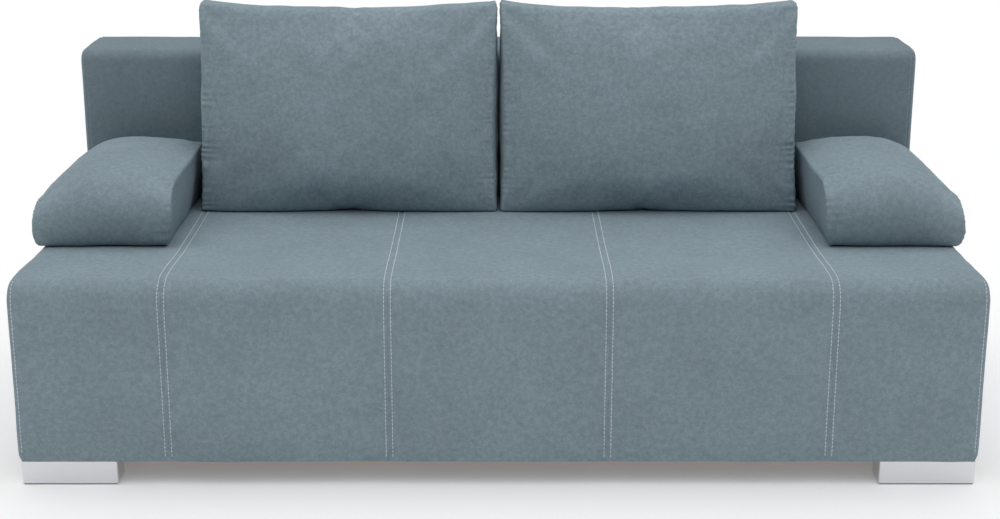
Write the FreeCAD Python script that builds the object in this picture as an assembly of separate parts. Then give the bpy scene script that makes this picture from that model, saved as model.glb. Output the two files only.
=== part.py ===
"""Pull-out sofa bed with loose back and arm cushions.

The seat block runs forward on rollers, and the backrest turns on two swan-neck arms of the seat
until it lies level behind it.

Frame: X runs along the sofa, Y from front to back, Z up. The origin is the middle of the
footprint, on the floor. Millimetres. Left is -X.
"""
import math
import os

import FreeCAD
import Part
from FreeCAD import Vector

# ---- driving dimensions ----
WIDTH = 2000.0
HALF = WIDTH / 2
SEAT_FRONT = -480.0
BACK_FACE = 250.0            # front of the backrest
BACK_REAR = 460.0            # rear of the backrest padding
GLIDE_REAR = 480.0           # the rest glides stand this far back
FOOT_HEIGHT = 52.0
APRON_REAR = -412.0          # the padded front reaches back to here
SEAT_UNDER = 183.0
SEAT_TOP = 435.0
SEAT_REAR_TOP = 236.0
SEAT_REAR_LOW = 215.0
SIDE_EDGE = 20.0             # rounding of the padded blocks' end edges
BACK_LOW = 205.0
BACK_TOP = 790.0
PIVOT_Y = 365.0
PIVOT_Z = BACK_FACE + SEAT_TOP - PIVOT_Y   # puts the folded backrest level with the seat
PULL_OUT = 345.0

CLOTH = 3.0                  # upholstery cloth with its lining
CUSHION_CLOTH = 2.0
BOARD = 18.0                 # plywood and chipboard thickness
HARDBOARD = 3.0
TIMBER = 39.0                # planed timber, wide side
PLATE = 4.0                  # pressed steel of the arms and hinge plates

BASE_FRONT = -405.0
BASE_REAR = 458.0
BASE_HALF = 985.0
BASE_TOP = 177.0
REST_HEIGHT = 204.7          # top of the rear board, which carries the folded backrest

ARM_X = 937.0                # inner face of the steel arms
HINGE_X = ARM_X + PLATE + 0.5
SIDE_RAIL_X = HINGE_X + PLATE
FRAME_HALF = 980.0
ARM_LOW = 98.0

ROLLER_RADIUS = 13.6
ROLLER_Z = 126.0
FRONT_AXLE_Y = 5.0
REAR_AXLE_Y = 195.0
AXLE_RADIUS = 4.0
RUNNING_CLEARANCE = 0.05
RAIL_X0 = 952.0
RAIL_X1 = BASE_HALF - BOARD
RAIL_Z0 = ROLLER_Z - 16.0
RAIL_Z1 = ROLLER_Z + 16.0
RAIL_WALL = 2.0

BOLT_RADIUS = 6.0
BOSS_RADIUS = 28.0           # round ends of the arms and hinge plates

SEAT_RAIL_LOW = 186.0
SEAT_RAIL_TOP = 256.0
APRON_BOARD_Y = -433.0       # front face of the apron board
SPRING_WIRE = 1.8
SPRINGS_PER_BAY = 6

BACK_RAIL_FRONT = 400.0
BACK_RAIL_REAR = 440.0
BACK_RAIL_LOW = 225.0
BACK_RAIL_TOP = 765.0

BACK_CUSHION_X = (3.0, 699.0)
BACK_CUSHION_TOP = 912.0
BACK_CUSHION_FRONT = (56.0, 100.0)    # at the bottom and at the top
ARM_CUSHION_X = (703.0, 1018.0)
ARM_CUSHION_Y = (-207.0, 247.0)
ARM_CUSHION_TOP = 592.0
CUSHION_LOW = SEAT_TOP + 0.8
CUSHION_REAR = BACK_FACE - 2.0
ZIP_CORNER = 30.0            # radius of the lower rear edge that the zip lies against

SIDES = (-1, 1)
FAR = 3000.0


# ---- building blocks ----
def box(x0, x1, y0, y1, z0, z1):
    low = Vector(min(x0, x1), min(y0, y1), min(z0, z1))
    return Part.makeBox(abs(x1 - x0), abs(y1 - y0), abs(z1 - z0), low)


def side_box(side, x0, x1, y0, y1, z0, z1):
    return box(side * x0, side * x1, y0, y1, z0, z1)


def rod_x(x0, x1, y, z, radius):
    """A round bar along X."""
    return Part.makeCylinder(radius, abs(x1 - x0), Vector(min(x0, x1), y, z), Vector(1, 0, 0))


def rod_y(x, y0, y1, z, radius):
    return Part.makeCylinder(radius, abs(y1 - y0), Vector(x, min(y0, y1), z), Vector(0, 1, 0))


def rod_z(x, y, z0, z1, radius):
    return Part.makeCylinder(radius, z1 - z0, Vector(x, y, z0))


def mirror_x(shape):
    return shape.mirror(Vector(0, 0, 0), Vector(1, 0, 0))


def on_side(side, shape):
    """A shape drawn on the right, moved to the side asked for."""
    return shape if side > 0 else mirror_x(shape)


def pair(shape):
    return [mirror_x(shape), shape]


def rounded_profile(corners, x):
    """A closed face in the plane X = x. Each corner is (y, z, radius)."""
    starts, ends, middles = [], [], []
    count = len(corners)
    for i in range(count):
        y, z, radius = corners[i]
        here = Vector(x, y, z)
        before = Vector(x, corners[i - 1][0], corners[i - 1][1]) - here
        after = Vector(x, corners[(i + 1) % count][0], corners[(i + 1) % count][1]) - here
        before.normalize()
        after.normalize()
        half_angle = before.getAngle(after) / 2
        reach = radius / math.tan(half_angle)
        inward = before + after
        inward.normalize()
        starts.append(here + before * reach)
        ends.append(here + after * reach)
        middles.append(here + inward * (radius / math.sin(half_angle) - radius))
    edges = []
    for i in range(count):
        if corners[i][2] > 0:
            edges.append(Part.Arc(starts[i], middles[i], ends[i]).toShape())
        nearest = (i + 1) % count
        edges.append(Part.LineSegment(ends[i], starts[nearest]).toShape())
    return Part.Face(Part.Wire(edges))


def block(corners, x0, x1, edge_radius=0.0, square_below=-FAR):
    """A profile run along X. Its two end outlines are rounded over, except up to one level."""
    solid = rounded_profile(corners, x0).extrude(Vector(x1 - x0, 0, 0))
    if edge_radius == 0:
        return solid
    ends = [edge for edge in solid.Edges
            if edge.BoundBox.XLength < 0.01 and edge.BoundBox.ZMax > square_below + 0.01]
    return solid.makeFillet(edge_radius, ends)


def cut(shape, *tools):
    for tool in tools:
        shape = shape.cut(tool)
    return shape


def fuse(first, *others):
    for other in others:
        first = first.fuse(other)
    return first.removeSplitter()


def screw_x(side, x_head, x_tip, y, z, radius):
    """A countersunk screw driven outwards along X through a plate."""
    depth = 2 * (radius * 0.75)
    head = Part.makeCone(radius * 2, radius, depth, Vector(x_head, y, z), Vector(1, 0, 0))
    return on_side(side, fuse(head, rod_x(x_head + depth, x_tip, y, z, radius)))


def write(node, solids):
    """Export one node. A list of solids becomes a compound."""
    if not isinstance(solids, list):
        solids = [solids]
    flat = [solid for shape in solids for solid in shape.Solids]
    shape = flat[0] if len(flat) == 1 else Part.makeCompound(flat)
    if not shape.isValid():
        raise ValueError(node + " isn't a valid shape")
    shape.exportStep("parts/" + node + ".step")
    room = shape.BoundBox
    print("%-26s %3d solids  x %7.1f %7.1f  y %7.1f %7.1f  z %6.1f %6.1f" % (
        node, len(flat), room.XMin, room.XMax, room.YMin, room.YMax, room.ZMin, room.ZMax))


# ---- fasteners, made first because the pieces they hold are drilled by them ----
def rail_screws():
    places = (-300.0, -60.0, 90.0, 330.0)
    x_head = RAIL_X1 - RAIL_WALL
    screws = []
    for side in SIDES:
        for y in places:
            screws.append(screw_x(side, x_head, BASE_HALF - 2, y, ROLLER_Z, 1.3))
    return screws


def carriage_bolts():
    places = ((20.0, 222.0), (120.0, 222.0), (180.0, 204.0), (180.0, 240.0))
    bolts = []
    for y, z in places:
        head = rod_x(ARM_X - 4, ARM_X, y, z, 7)
        bolts += pair(fuse(head, rod_x(ARM_X, FRAME_HALF - 5, y, z, 4)))
    return bolts


def roller_axles():
    axles = []
    for y in (FRONT_AXLE_Y, REAR_AXLE_Y):
        head = rod_x(ARM_X - 5, ARM_X, y, ROLLER_Z, 7)
        pin = rod_x(ARM_X, RAIL_X1 - RAIL_WALL - 0.6, y, ROLLER_Z, AXLE_RADIUS)
        axles += pair(fuse(head, pin))
    return axles


def pivot_bolts():
    head = rod_x(ARM_X - 7, ARM_X, PIVOT_Y, PIVOT_Z, 11)
    return pair(fuse(head, rod_x(ARM_X, SIDE_RAIL_X + 9, PIVOT_Y, PIVOT_Z, BOLT_RADIUS)))


def pivot_nuts():
    nut = rod_x(SIDE_RAIL_X + 0.5, SIDE_RAIL_X + 7.5, PIVOT_Y, PIVOT_Z, 11)
    return pair(nut.cut(rod_x(ARM_X, FRAME_HALF, PIVOT_Y, PIVOT_Z, BOLT_RADIUS)))


def hinge_screws():
    screws = []
    for side in SIDES:
        for z in (PIVOT_Z + 50, PIVOT_Z + 90, PIVOT_Z + 130):
            screws.append(screw_x(side, HINGE_X, FRAME_HALF - 8, PIVOT_Y, z, 2.2))
    return screws


GLIDE_X = (-700.0, 0.0, 700.0)
GLIDE_LOW = BASE_REAR - BOARD + PULL_OUT - PIVOT_Y + PIVOT_Z
GLIDE_WIDTH = 90.0


def glide_screws():
    screws = []
    z = GLIDE_LOW + BOARD / 2
    for x in GLIDE_X:
        for offset in (-30, 30):
            head = rod_y(x + offset, GLIDE_REAR - 8, GLIDE_REAR - 4, z, 5)
            shank = rod_y(x + offset, BACK_RAIL_FRONT + 15, GLIDE_REAR - 8, z, 2.5)
            screws.append(fuse(head, shank))
    return screws


FOOT_X = (793.0, 993.0)
FOOT_Y = (SEAT_FRONT + 2, APRON_REAR - 2)
FOOT_WALL = 2.0


def foot_screws():
    screws = []
    under_plate = FOOT_HEIGHT - FOOT_WALL
    for x in (FOOT_X[0] + 40, FOOT_X[1] - 40):
        for y in (FOOT_Y[0] + 16, FOOT_Y[1] - 16):
            head = rod_z(x, y, under_plate - 4, under_plate, 6)
            screws += pair(fuse(head, rod_z(x, y, under_plate, under_plate + 28, 2.5)))
    return screws


# ---- base: a shallow box on fixed feet that stays by the wall ----
def base_side_boards():
    boards = []
    for side in SIDES:
        board = side_box(side, BASE_HALF - BOARD, BASE_HALF, BASE_FRONT, BASE_REAR,
                         FOOT_HEIGHT, BASE_TOP)
        boards.append(cut(board, *rail_screws()))
    return boards


def base_front_board():
    inside = BASE_HALF - BOARD
    return box(-inside, inside, BASE_FRONT, BASE_FRONT + BOARD, FOOT_HEIGHT, 150)


def base_rear_board():
    inside = BASE_HALF - BOARD
    return box(-inside, inside, BASE_REAR - BOARD, BASE_REAR, FOOT_HEIGHT, REST_HEIGHT)


DUST_PANEL_TOP = FOOT_HEIGHT + 3 + HARDBOARD
FOOT_ROW_Y = (-355.0, 408.0)


def base_dust_panel():
    inside = BASE_HALF - BOARD - 0.5
    low = DUST_PANEL_TOP - HARDBOARD
    return box(-inside, inside, BASE_FRONT + BOARD + 1, BASE_REAR - BOARD - 1, low, DUST_PANEL_TOP)


STRETCHER_Y = (-200.0, 40.0, 280.0)


def base_stretchers():
    inside = BASE_HALF - BOARD
    return [box(-inside, inside, y - 20, y + 20, DUST_PANEL_TOP, DUST_PANEL_TOP + 30)
            for y in STRETCHER_Y]


def base_corner_blocks():
    inside = BASE_HALF - BOARD
    blocks = []
    for y0 in (BASE_FRONT + BOARD, BASE_REAR - BOARD - 40):
        blocks += pair(box(inside - 40, inside, y0, y0 + 40, DUST_PANEL_TOP, ARM_LOW - 3))
    return blocks


def base_feet():
    """Turned plastic feet, a little narrower at the floor."""
    top = DUST_PANEL_TOP - HARDBOARD
    places = [(x, y) for x in (-935.0, 935.0) for y in FOOT_ROW_Y]
    places += [(0.0, y) for y in STRETCHER_Y[:2]]
    return [Part.makeCone(23, 28, top, Vector(x, y, 0)) for x, y in places]


def base_covers():
    """Cloth glued over the two sides and the rear board."""
    rear = box(-BASE_HALF - CLOTH, BASE_HALF + CLOTH, BASE_REAR, BASE_REAR + CLOTH,
               FOOT_HEIGHT, REST_HEIGHT)
    sides = [side_box(side, BASE_HALF, BASE_HALF + CLOTH, BASE_FRONT, BASE_REAR,
                      FOOT_HEIGHT, BASE_TOP) for side in SIDES]
    return sides + [rear]


def slide_rails():
    """Lipped steel channels that open inwards."""
    y0 = BASE_FRONT + BOARD
    y1 = BASE_REAR - BOARD
    channel = box(RAIL_X0, RAIL_X1, y0, y1, RAIL_Z0, RAIL_Z1)
    inside = box(RAIL_X0 + RAIL_WALL, RAIL_X1 - RAIL_WALL, y0 - 1, y1 + 1,
                 RAIL_Z0 + RAIL_WALL, RAIL_Z1 - RAIL_WALL)
    mouth = box(RAIL_X0 - 1, RAIL_X0 + RAIL_WALL, y0 - 1, y1 + 1, ROLLER_Z - 10, ROLLER_Z + 10)
    return [cut(on_side(side, cut(channel, inside, mouth)), *rail_screws()) for side in SIDES]


def rail_stops():
    """Rubber buffers in the channels, met by the front rollers when out and the rear when in."""
    gap = ROLLER_RADIUS + 2
    front = FRONT_AXLE_Y - PULL_OUT - gap
    rear = REAR_AXLE_Y + gap
    stops = []
    for y0, y1 in ((front - 18, front), (rear, rear + 18)):
        stops += pair(box(RAIL_X0 + RAIL_WALL + 0.5, RAIL_X1 - RAIL_WALL - 0.8, y0, y1,
                          RAIL_Z0 + RAIL_WALL, RAIL_Z1 - RAIL_WALL))
    return stops


# ---- seat: a sprung, padded block with a deep front ----
def seat_side_rails():
    rails = []
    for side in SIDES:
        rail = side_box(side, FRAME_HALF - TIMBER, FRAME_HALF, APRON_BOARD_Y + BOARD,
                        SEAT_REAR_LOW - 6, SEAT_RAIL_LOW, SEAT_RAIL_TOP)
        rails.append(cut(rail, *carriage_bolts()))
    return rails


def seat_front_rail():
    inside = FRAME_HALF - TIMBER
    y0 = APRON_BOARD_Y + BOARD
    return box(-inside, inside, y0, y0 + TIMBER, SEAT_RAIL_LOW, SEAT_RAIL_TOP)


def seat_rear_rail():
    y1 = SEAT_REAR_LOW - 6
    return cut(box(-ARM_X, ARM_X, y1 - TIMBER, y1, SEAT_RAIL_LOW, SEAT_RAIL_TOP),
               *carriage_bolts())


BAY_Y0 = APRON_BOARD_Y + BOARD + TIMBER
BAY_Y1 = SEAT_REAR_LOW - 6 - TIMBER
CENTRE_RAIL_HALF = 20.0


def seat_centre_rail():
    return box(-CENTRE_RAIL_HALF, CENTRE_RAIL_HALF, BAY_Y0, BAY_Y1, SEAT_RAIL_LOW,
               SEAT_RAIL_TOP - 8)


def spring_centres():
    bay = ARM_X - 15 - CENTRE_RAIL_HALF
    pitch = bay / SPRINGS_PER_BAY
    right = [CENTRE_RAIL_HALF + pitch * (i + 0.5) for i in range(SPRINGS_PER_BAY)]
    return [-x for x in right] + right


SPRING_Z = SEAT_RAIL_TOP + SPRING_WIRE + 1.0
SPRING_LOOPS = 15
SPRING_HALF_WIDTH = 24.0


def seat_spring(x):
    """A flat serpentine spring: cross bars joined by half-round ends."""
    y0 = BAY_Y0 - 6
    step = (BAY_Y1 + 6 - y0) / SPRING_LOOPS
    bend = step / 2
    bar = SPRING_HALF_WIDTH - bend
    edges = []
    for i in range(SPRING_LOOPS + 1):
        y = y0 + i * step
        way = 1 if i % 2 == 0 else -1
        start = Vector(x - way * bar, y, SPRING_Z)
        end = Vector(x + way * bar, y, SPRING_Z)
        edges.append(Part.LineSegment(start, end).toShape())
        if i < SPRING_LOOPS:
            outer = Vector(x + way * (bar + bend), y + bend, SPRING_Z)
            turn_end = Vector(x + way * bar, y + step, SPRING_Z)
            edges.append(Part.Arc(end, outer, turn_end).toShape())
    path = Part.Wire(edges)
    first = Vector(x - bar, y0, SPRING_Z)
    section = Part.Wire(Part.makeCircle(SPRING_WIRE, first, Vector(1, 0, 0)))
    return path.makePipeShell([section], True, True)


def seat_springs():
    first = spring_centres()[0]
    spring = seat_spring(first)
    springs = []
    for x in spring_centres():
        copy = spring.copy()
        copy.translate(Vector(x - first, 0, 0))
        springs.append(copy)
    return springs


def spring_clips():
    """Folded steel clips that wrap the end bars and hold them on the rails."""
    clips = []
    for x in spring_centres():
        for y in (BAY_Y0 - 6, BAY_Y1 + 6):
            clip = box(x - 8, x + 8, y - 6, y + 6, SEAT_RAIL_TOP, SEAT_RAIL_TOP + 5.5)
            clips.append(clip.cut(rod_x(x - 9, x + 9, y, SPRING_Z, SPRING_WIRE)))
    return clips


FELT_LOW = SEAT_RAIL_TOP + 6.0
FOAM_LOW = FELT_LOW + 4.0


def arm_slots():
    """Room for the steel arms where they rise through the seat padding."""
    return pair(box(ARM_X - 1, ARM_X + PLATE + 1, 146, SEAT_REAR_TOP + 20, SEAT_UNDER,
                    PIVOT_Z + BOSS_RADIUS + 2))


def seat_felt():
    felt = box(-FRAME_HALF, FRAME_HALF, APRON_BOARD_Y + BOARD, SEAT_REAR_LOW - 6,
               FELT_LOW, FOAM_LOW)
    return cut(felt, *arm_slots())


def seat_profile(inset, low):
    return (
        (SEAT_FRONT + inset, low, 0),
        (SEAT_FRONT + inset, SEAT_TOP - inset, 45 - inset),
        (SEAT_REAR_TOP - inset, SEAT_TOP - inset, 30 - inset),
        (SEAT_REAR_LOW - inset, PIVOT_Z, 0),
        (SEAT_REAR_LOW - inset, low, 0),
    )


def seat_outer(inset, low):
    """The seat block down to a level, with its ends rounded above that level."""
    return block(seat_profile(inset, low), -HALF + inset, HALF - inset, SIDE_EDGE - inset, low)


def seat_foam():
    foam = seat_outer(CLOTH, FOAM_LOW)
    skirt = seat_outer(CLOTH, SEAT_RAIL_LOW)
    frame_room = box(-FRAME_HALF, FRAME_HALF, SEAT_FRONT - 10, SEAT_REAR_LOW + 30,
                     SEAT_RAIL_LOW - 5, FOAM_LOW)
    front_room = box(-HALF, HALF, SEAT_FRONT - 10, APRON_BOARD_Y + BOARD,
                     SEAT_RAIL_LOW - 5, FOAM_LOW)
    return cut(fuse(foam, cut(skirt, frame_room, front_room)), *arm_slots())


def seat_cover():
    outer = seat_outer(0, SEAT_UNDER)
    return cut(outer, seat_outer(CLOTH, SEAT_UNDER - 5), *arm_slots())


def seat_dust_cloth():
    return box(-ARM_X + 8, ARM_X - 8, APRON_REAR + 4, SEAT_REAR_LOW - 8, SEAT_UNDER,
               SEAT_UNDER + 1.5)


APRON_RAIL_TOP = 80.0


def apron_bottom_rail():
    rail = apron_outer(CLOTH, FOOT_HEIGHT + CLOTH, APRON_RAIL_TOP, APRON_REAR - CLOTH)
    return cut(rail, *foot_screws())


def apron_board():
    return box(-HALF + 5, HALF - 5, APRON_BOARD_Y, APRON_BOARD_Y + BOARD, APRON_RAIL_TOP,
               SEAT_RAIL_TOP)


def apron_foam():
    return apron_outer(CLOTH, APRON_RAIL_TOP, FOAM_LOW, APRON_BOARD_Y)


def apron_outer(inset, low, top, rear):
    """The lower front, with the same upright end edges as the seat block above it."""
    solid = box(-HALF + inset, HALF - inset, SEAT_FRONT + inset, rear, low, top)
    front_ends = [edge for edge in solid.Edges
                  if edge.BoundBox.ZLength > 1 and edge.BoundBox.YMax < SEAT_FRONT + inset + 1]
    return solid.makeFillet(SIDE_EDGE - inset, front_ends)


def apron_cover():
    outer = apron_outer(0, FOOT_HEIGHT, SEAT_UNDER, APRON_REAR)
    inside = apron_outer(CLOTH, FOOT_HEIGHT + CLOTH, SEAT_UNDER + 5, APRON_REAR - CLOTH)
    return cut(outer, inside, *foot_screws())


def front_foot(side):
    """A pressed metal foot, open below, under one end of the front."""
    foot = box(FOOT_X[0], FOOT_X[1], FOOT_Y[0], FOOT_Y[1], 3, FOOT_HEIGHT)
    upright = [edge for edge in foot.Edges if edge.BoundBox.ZLength > 10]
    foot = foot.makeFillet(5, upright)
    hollow = box(FOOT_X[0] + FOOT_WALL, FOOT_X[1] - FOOT_WALL, FOOT_Y[0] + FOOT_WALL,
                 FOOT_Y[1] - FOOT_WALL, 0, FOOT_HEIGHT - FOOT_WALL)
    return cut(on_side(side, foot.cut(hollow)), *foot_screws())


def foot_glides():
    glide = box(FOOT_X[0] + FOOT_WALL + 1, FOOT_X[1] - FOOT_WALL - 1, FOOT_Y[0] + FOOT_WALL + 1,
                FOOT_Y[1] - FOOT_WALL - 1, 0, 12)
    return pair(glide)


def carriage_arms():
    """Steel plates: a long foot for the axles, a column, and a level neck to the pivot."""
    shape = fuse(
        box(ARM_X, ARM_X + PLATE, -20, 210, ARM_LOW, SEAT_RAIL_TOP - 4),
        box(ARM_X, ARM_X + PLATE, 150, 210, ARM_LOW, PIVOT_Z + BOSS_RADIUS),
        box(ARM_X, ARM_X + PLATE, 150, PIVOT_Y, PIVOT_Z - BOSS_RADIUS, PIVOT_Z + BOSS_RADIUS),
        rod_x(ARM_X, ARM_X + PLATE, PIVOT_Y, PIVOT_Z, BOSS_RADIUS),
    )
    return [cut(on_side(side, shape), *carriage_bolts(), *roller_axles(), *pivot_bolts())
            for side in SIDES]


def rollers(y):
    roller = rod_x(RAIL_X0 + 3, RAIL_X1 - 3, y, ROLLER_Z, ROLLER_RADIUS)
    bore = rod_x(RAIL_X0, RAIL_X1, y, ROLLER_Z, AXLE_RADIUS + RUNNING_CLEARANCE)
    return pair(roller.cut(bore))


# ---- backrest: a framed, padded block that folds back and down ----
def backrest_profile(inset):
    return (
        (BACK_FACE + inset, BACK_LOW + inset, 40 - inset),
        (BACK_FACE + inset, BACK_TOP - inset, 30 - inset),
        (BACK_REAR - inset, BACK_TOP - inset, 30 - inset),
        (BACK_REAR - inset, BACK_LOW + inset, 40 - inset),
    )


def backrest_outer(inset):
    return block(backrest_profile(inset), -HALF + inset, HALF - inset, SIDE_EDGE - inset)


def hinge_plate():
    plate = fuse(
        rod_x(HINGE_X, HINGE_X + PLATE, PIVOT_Y, PIVOT_Z, BOSS_RADIUS),
        box(HINGE_X, HINGE_X + PLATE, PIVOT_Y - 20, PIVOT_Y + 20, PIVOT_Z, PIVOT_Z + 150),
    )
    bore = rod_x(ARM_X, FRAME_HALF, PIVOT_Y, PIVOT_Z, BOLT_RADIUS + RUNNING_CLEARANCE)
    return plate.cut(bore)


def hinge_plates():
    return [cut(plate, *hinge_screws()) for plate in pair(hinge_plate())]


def backrest_side_rails():
    rail = box(SIDE_RAIL_X, FRAME_HALF, 330, BACK_RAIL_REAR, BACK_RAIL_LOW, BACK_RAIL_TOP)
    nut_room = rod_x(SIDE_RAIL_X - 1, SIDE_RAIL_X + 12, PIVOT_Y, PIVOT_Z, 15)
    return [cut(shape, *hinge_screws()) for shape in pair(rail.cut(nut_room))]


def backrest_top_rail():
    rail = box(-SIDE_RAIL_X, SIDE_RAIL_X, BACK_RAIL_FRONT, BACK_RAIL_REAR,
               BACK_RAIL_TOP - 60, BACK_RAIL_TOP)
    return cut(rail, *glide_screws())


def backrest_bottom_rail():
    return box(-SIDE_RAIL_X, SIDE_RAIL_X, BACK_RAIL_FRONT, BACK_RAIL_REAR,
               BACK_RAIL_LOW, BACK_RAIL_LOW + 70)


def backrest_centre_post():
    return box(-20, 20, BACK_RAIL_FRONT, BACK_RAIL_REAR, BACK_RAIL_LOW + 70, BACK_RAIL_TOP - 60)


def backrest_webbing():
    """Elastic straps stapled from the bottom rail to the top rail."""
    count = 9
    pitch = 1800.0 / (count - 1)
    return [box(-900 + i * pitch - 30, -900 + i * pitch + 30, BACK_RAIL_FRONT - 2,
                BACK_RAIL_FRONT, BACK_RAIL_LOW + 10, BACK_RAIL_TOP - 10) for i in range(count)]


def backrest_rear_board():
    board = box(-FRAME_HALF, FRAME_HALF, BACK_RAIL_REAR, BACK_RAIL_REAR + HARDBOARD,
                BACK_RAIL_LOW, BACK_RAIL_TOP)
    return cut(board, *glide_screws())


def backrest_foam():
    frame_room = box(-SIDE_RAIL_X, SIDE_RAIL_X, BACK_RAIL_FRONT - 2.5,
                     BACK_RAIL_REAR + HARDBOARD, BACK_RAIL_LOW - 1, BACK_RAIL_TOP + 1)
    foam = cut(backrest_outer(CLOTH), frame_room, *glide_screws())
    for side in SIDES:
        rail_room = side_box(side, SIDE_RAIL_X, FRAME_HALF, 329.5, BACK_RAIL_REAR + HARDBOARD,
                             BACK_RAIL_LOW - 1, BACK_RAIL_TOP + 1)
        arm_room = side_box(side, ARM_X - 11, SIDE_RAIL_X, BACK_FACE, BACK_RAIL_FRONT - 2.5,
                            BACK_LOW, PIVOT_Z + BOSS_RADIUS + 4)
        plate_room = side_box(side, HINGE_X - 0.5, SIDE_RAIL_X, PIVOT_Y - 21, PIVOT_Y + 21,
                              PIVOT_Z, PIVOT_Z + 151)
        foam = cut(foam, rail_room, arm_room, plate_room)
    return foam


def backrest_cover():
    cover = cut(backrest_outer(0), backrest_outer(CLOTH), *glide_screws())
    for side in SIDES:
        slit = side_box(side, ARM_X - 2, ARM_X + PLATE + 2, BACK_FACE - 5, PIVOT_Y + 34,
                        BACK_LOW - 5, PIVOT_Z + BOSS_RADIUS + 3)
        cover = cut(cover, slit)
    return cover


def rest_glides():
    """Plastic blocks that land on the rear board of the base."""
    glides = []
    for x in GLIDE_X:
        glide = box(x - GLIDE_WIDTH / 2, x + GLIDE_WIDTH / 2, BACK_REAR, GLIDE_REAR,
                    GLIDE_LOW, GLIDE_LOW + BOARD)
        rear_edges = [edge for edge in glide.Edges
                      if edge.BoundBox.YMin > GLIDE_REAR - 0.1 and edge.BoundBox.XLength > 10]
        glide = glide.makeFillet(2, rear_edges)
        heads = [rod_y(x + offset, GLIDE_REAR - 8, GLIDE_REAR + 1, GLIDE_LOW + BOARD / 2, 5)
                 for offset in (-30, 30)]
        glides.append(cut(glide, *heads, *glide_screws()))
    return glides


# ---- loose cushions: a cover, a filling and a zip each ----
def back_cushion(side, inset):
    corners = (
        (BACK_CUSHION_FRONT[0] + inset, CUSHION_LOW + inset, 32 - inset),
        (BACK_CUSHION_FRONT[1] + inset, BACK_CUSHION_TOP - inset, 40 - inset),
        (CUSHION_REAR - inset, BACK_CUSHION_TOP - inset, 40 - inset),
        (CUSHION_REAR - inset, CUSHION_LOW + inset, ZIP_CORNER - inset),
    )
    x0, x1 = BACK_CUSHION_X
    return on_side(side, block(corners, x0 + inset, x1 - inset, 20 - inset))


def arm_cushion(side, inset):
    y0, y1 = ARM_CUSHION_Y
    corners = (
        (y0 + inset, CUSHION_LOW + inset, 30 - inset),
        (y0 + inset, ARM_CUSHION_TOP - inset, 36 - inset),
        (y1 - inset, ARM_CUSHION_TOP - inset, 36 - inset),
        (y1 - inset, CUSHION_LOW + inset, ZIP_CORNER - inset),
    )
    x0, x1 = ARM_CUSHION_X
    return on_side(side, block(corners, x0 + inset, x1 - inset, 20 - inset))


ZIP_SIZE = 4.0
ZIP_INSET = 4.6              # from the planes of the cushion's rear and underside


def zip_chain(side, rear, x0, x1):
    """Closed teeth and tape, along the lower rear edge of a cushion."""
    y1 = rear - ZIP_INSET
    z0 = CUSHION_LOW + ZIP_INSET
    return side_box(side, x0, x1, y1 - ZIP_SIZE, y1, z0, z0 + ZIP_SIZE)


def zip_slider(side, rear, x1):
    """A slider that hooks round the chain, with its pull lying beside it."""
    y1 = rear - ZIP_INSET
    z0 = CUSHION_LOW + ZIP_INSET
    body = side_box(side, x1 - 14, x1, y1 - ZIP_SIZE, y1 + 3, z0 - 3, z0 + ZIP_SIZE)
    room = side_box(side, x1 - 15, x1 + 1, y1 - ZIP_SIZE - 1, y1 + 0.4, z0 - 0.4,
                    z0 + ZIP_SIZE + 1)
    pull = side_box(side, x1 - 36, x1 - 14, y1 - ZIP_SIZE, y1, z0 - 2.4, z0 - 0.8)
    return fuse(body.cut(room), pull)


def write_all():
    os.makedirs("parts", exist_ok=True)
    nodes = {
        "base_side_boards": base_side_boards,
        "base_front_board": base_front_board,
        "base_rear_board": base_rear_board,
        "base_stretchers": base_stretchers,
        "base_corner_blocks": base_corner_blocks,
        "base_dust_panel": base_dust_panel,
        "base_covers": base_covers,
        "base_feet": base_feet,
        "slide_rails": slide_rails,
        "rail_screws": rail_screws,
        "rail_stops": rail_stops,
        "seat_side_rails": seat_side_rails,
        "seat_front_rail": seat_front_rail,
        "seat_rear_rail": seat_rear_rail,
        "seat_centre_rail": seat_centre_rail,
        "seat_springs": seat_springs,
        "spring_clips": spring_clips,
        "seat_felt": seat_felt,
        "seat_foam": seat_foam,
        "seat_cover": seat_cover,
        "seat_dust_cloth": seat_dust_cloth,
        "apron_cover": apron_cover,
        "apron_board": apron_board,
        "apron_foam": apron_foam,
        "apron_bottom_rail": apron_bottom_rail,
        "foot_glides": foot_glides,
        "foot_screws": foot_screws,
        "carriage_arms": carriage_arms,
        "carriage_bolts": carriage_bolts,
        "roller_axles": roller_axles,
        "pivot_bolts": pivot_bolts,
        "pivot_nuts": pivot_nuts,
        "backrest_side_rails": backrest_side_rails,
        "backrest_top_rail": backrest_top_rail,
        "backrest_bottom_rail": backrest_bottom_rail,
        "backrest_centre_post": backrest_centre_post,
        "backrest_webbing": backrest_webbing,
        "backrest_rear_board": backrest_rear_board,
        "backrest_foam": backrest_foam,
        "backrest_cover": backrest_cover,
        "hinge_plates": hinge_plates,
        "hinge_screws": hinge_screws,
        "rest_glides": rest_glides,
        "glide_screws": glide_screws,
    }
    for node, make in nodes.items():
        write(node, make())
    write("front_rollers", rollers(FRONT_AXLE_Y))
    write("rear_rollers", rollers(REAR_AXLE_Y))
    for side, name in zip(SIDES, ("left", "right")):
        write("front_foot_" + name, front_foot(side))
        back_filling = back_cushion(side, CUSHION_CLOTH)
        write("back_cushion_cover_" + name, back_cushion(side, 0).cut(back_filling))
        write("back_cushion_filling_" + name, back_filling)
        write("back_cushion_zip_" + name, zip_chain(side, CUSHION_REAR, 100, 602))
        write("zip_slider_" + name, zip_slider(side, CUSHION_REAR, 600))
        arm_filling = arm_cushion(side, CUSHION_CLOTH)
        write("arm_cushion_cover_" + name, arm_cushion(side, 0).cut(arm_filling))
        write("arm_cushion_filling_" + name, arm_filling)


write_all()
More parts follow.
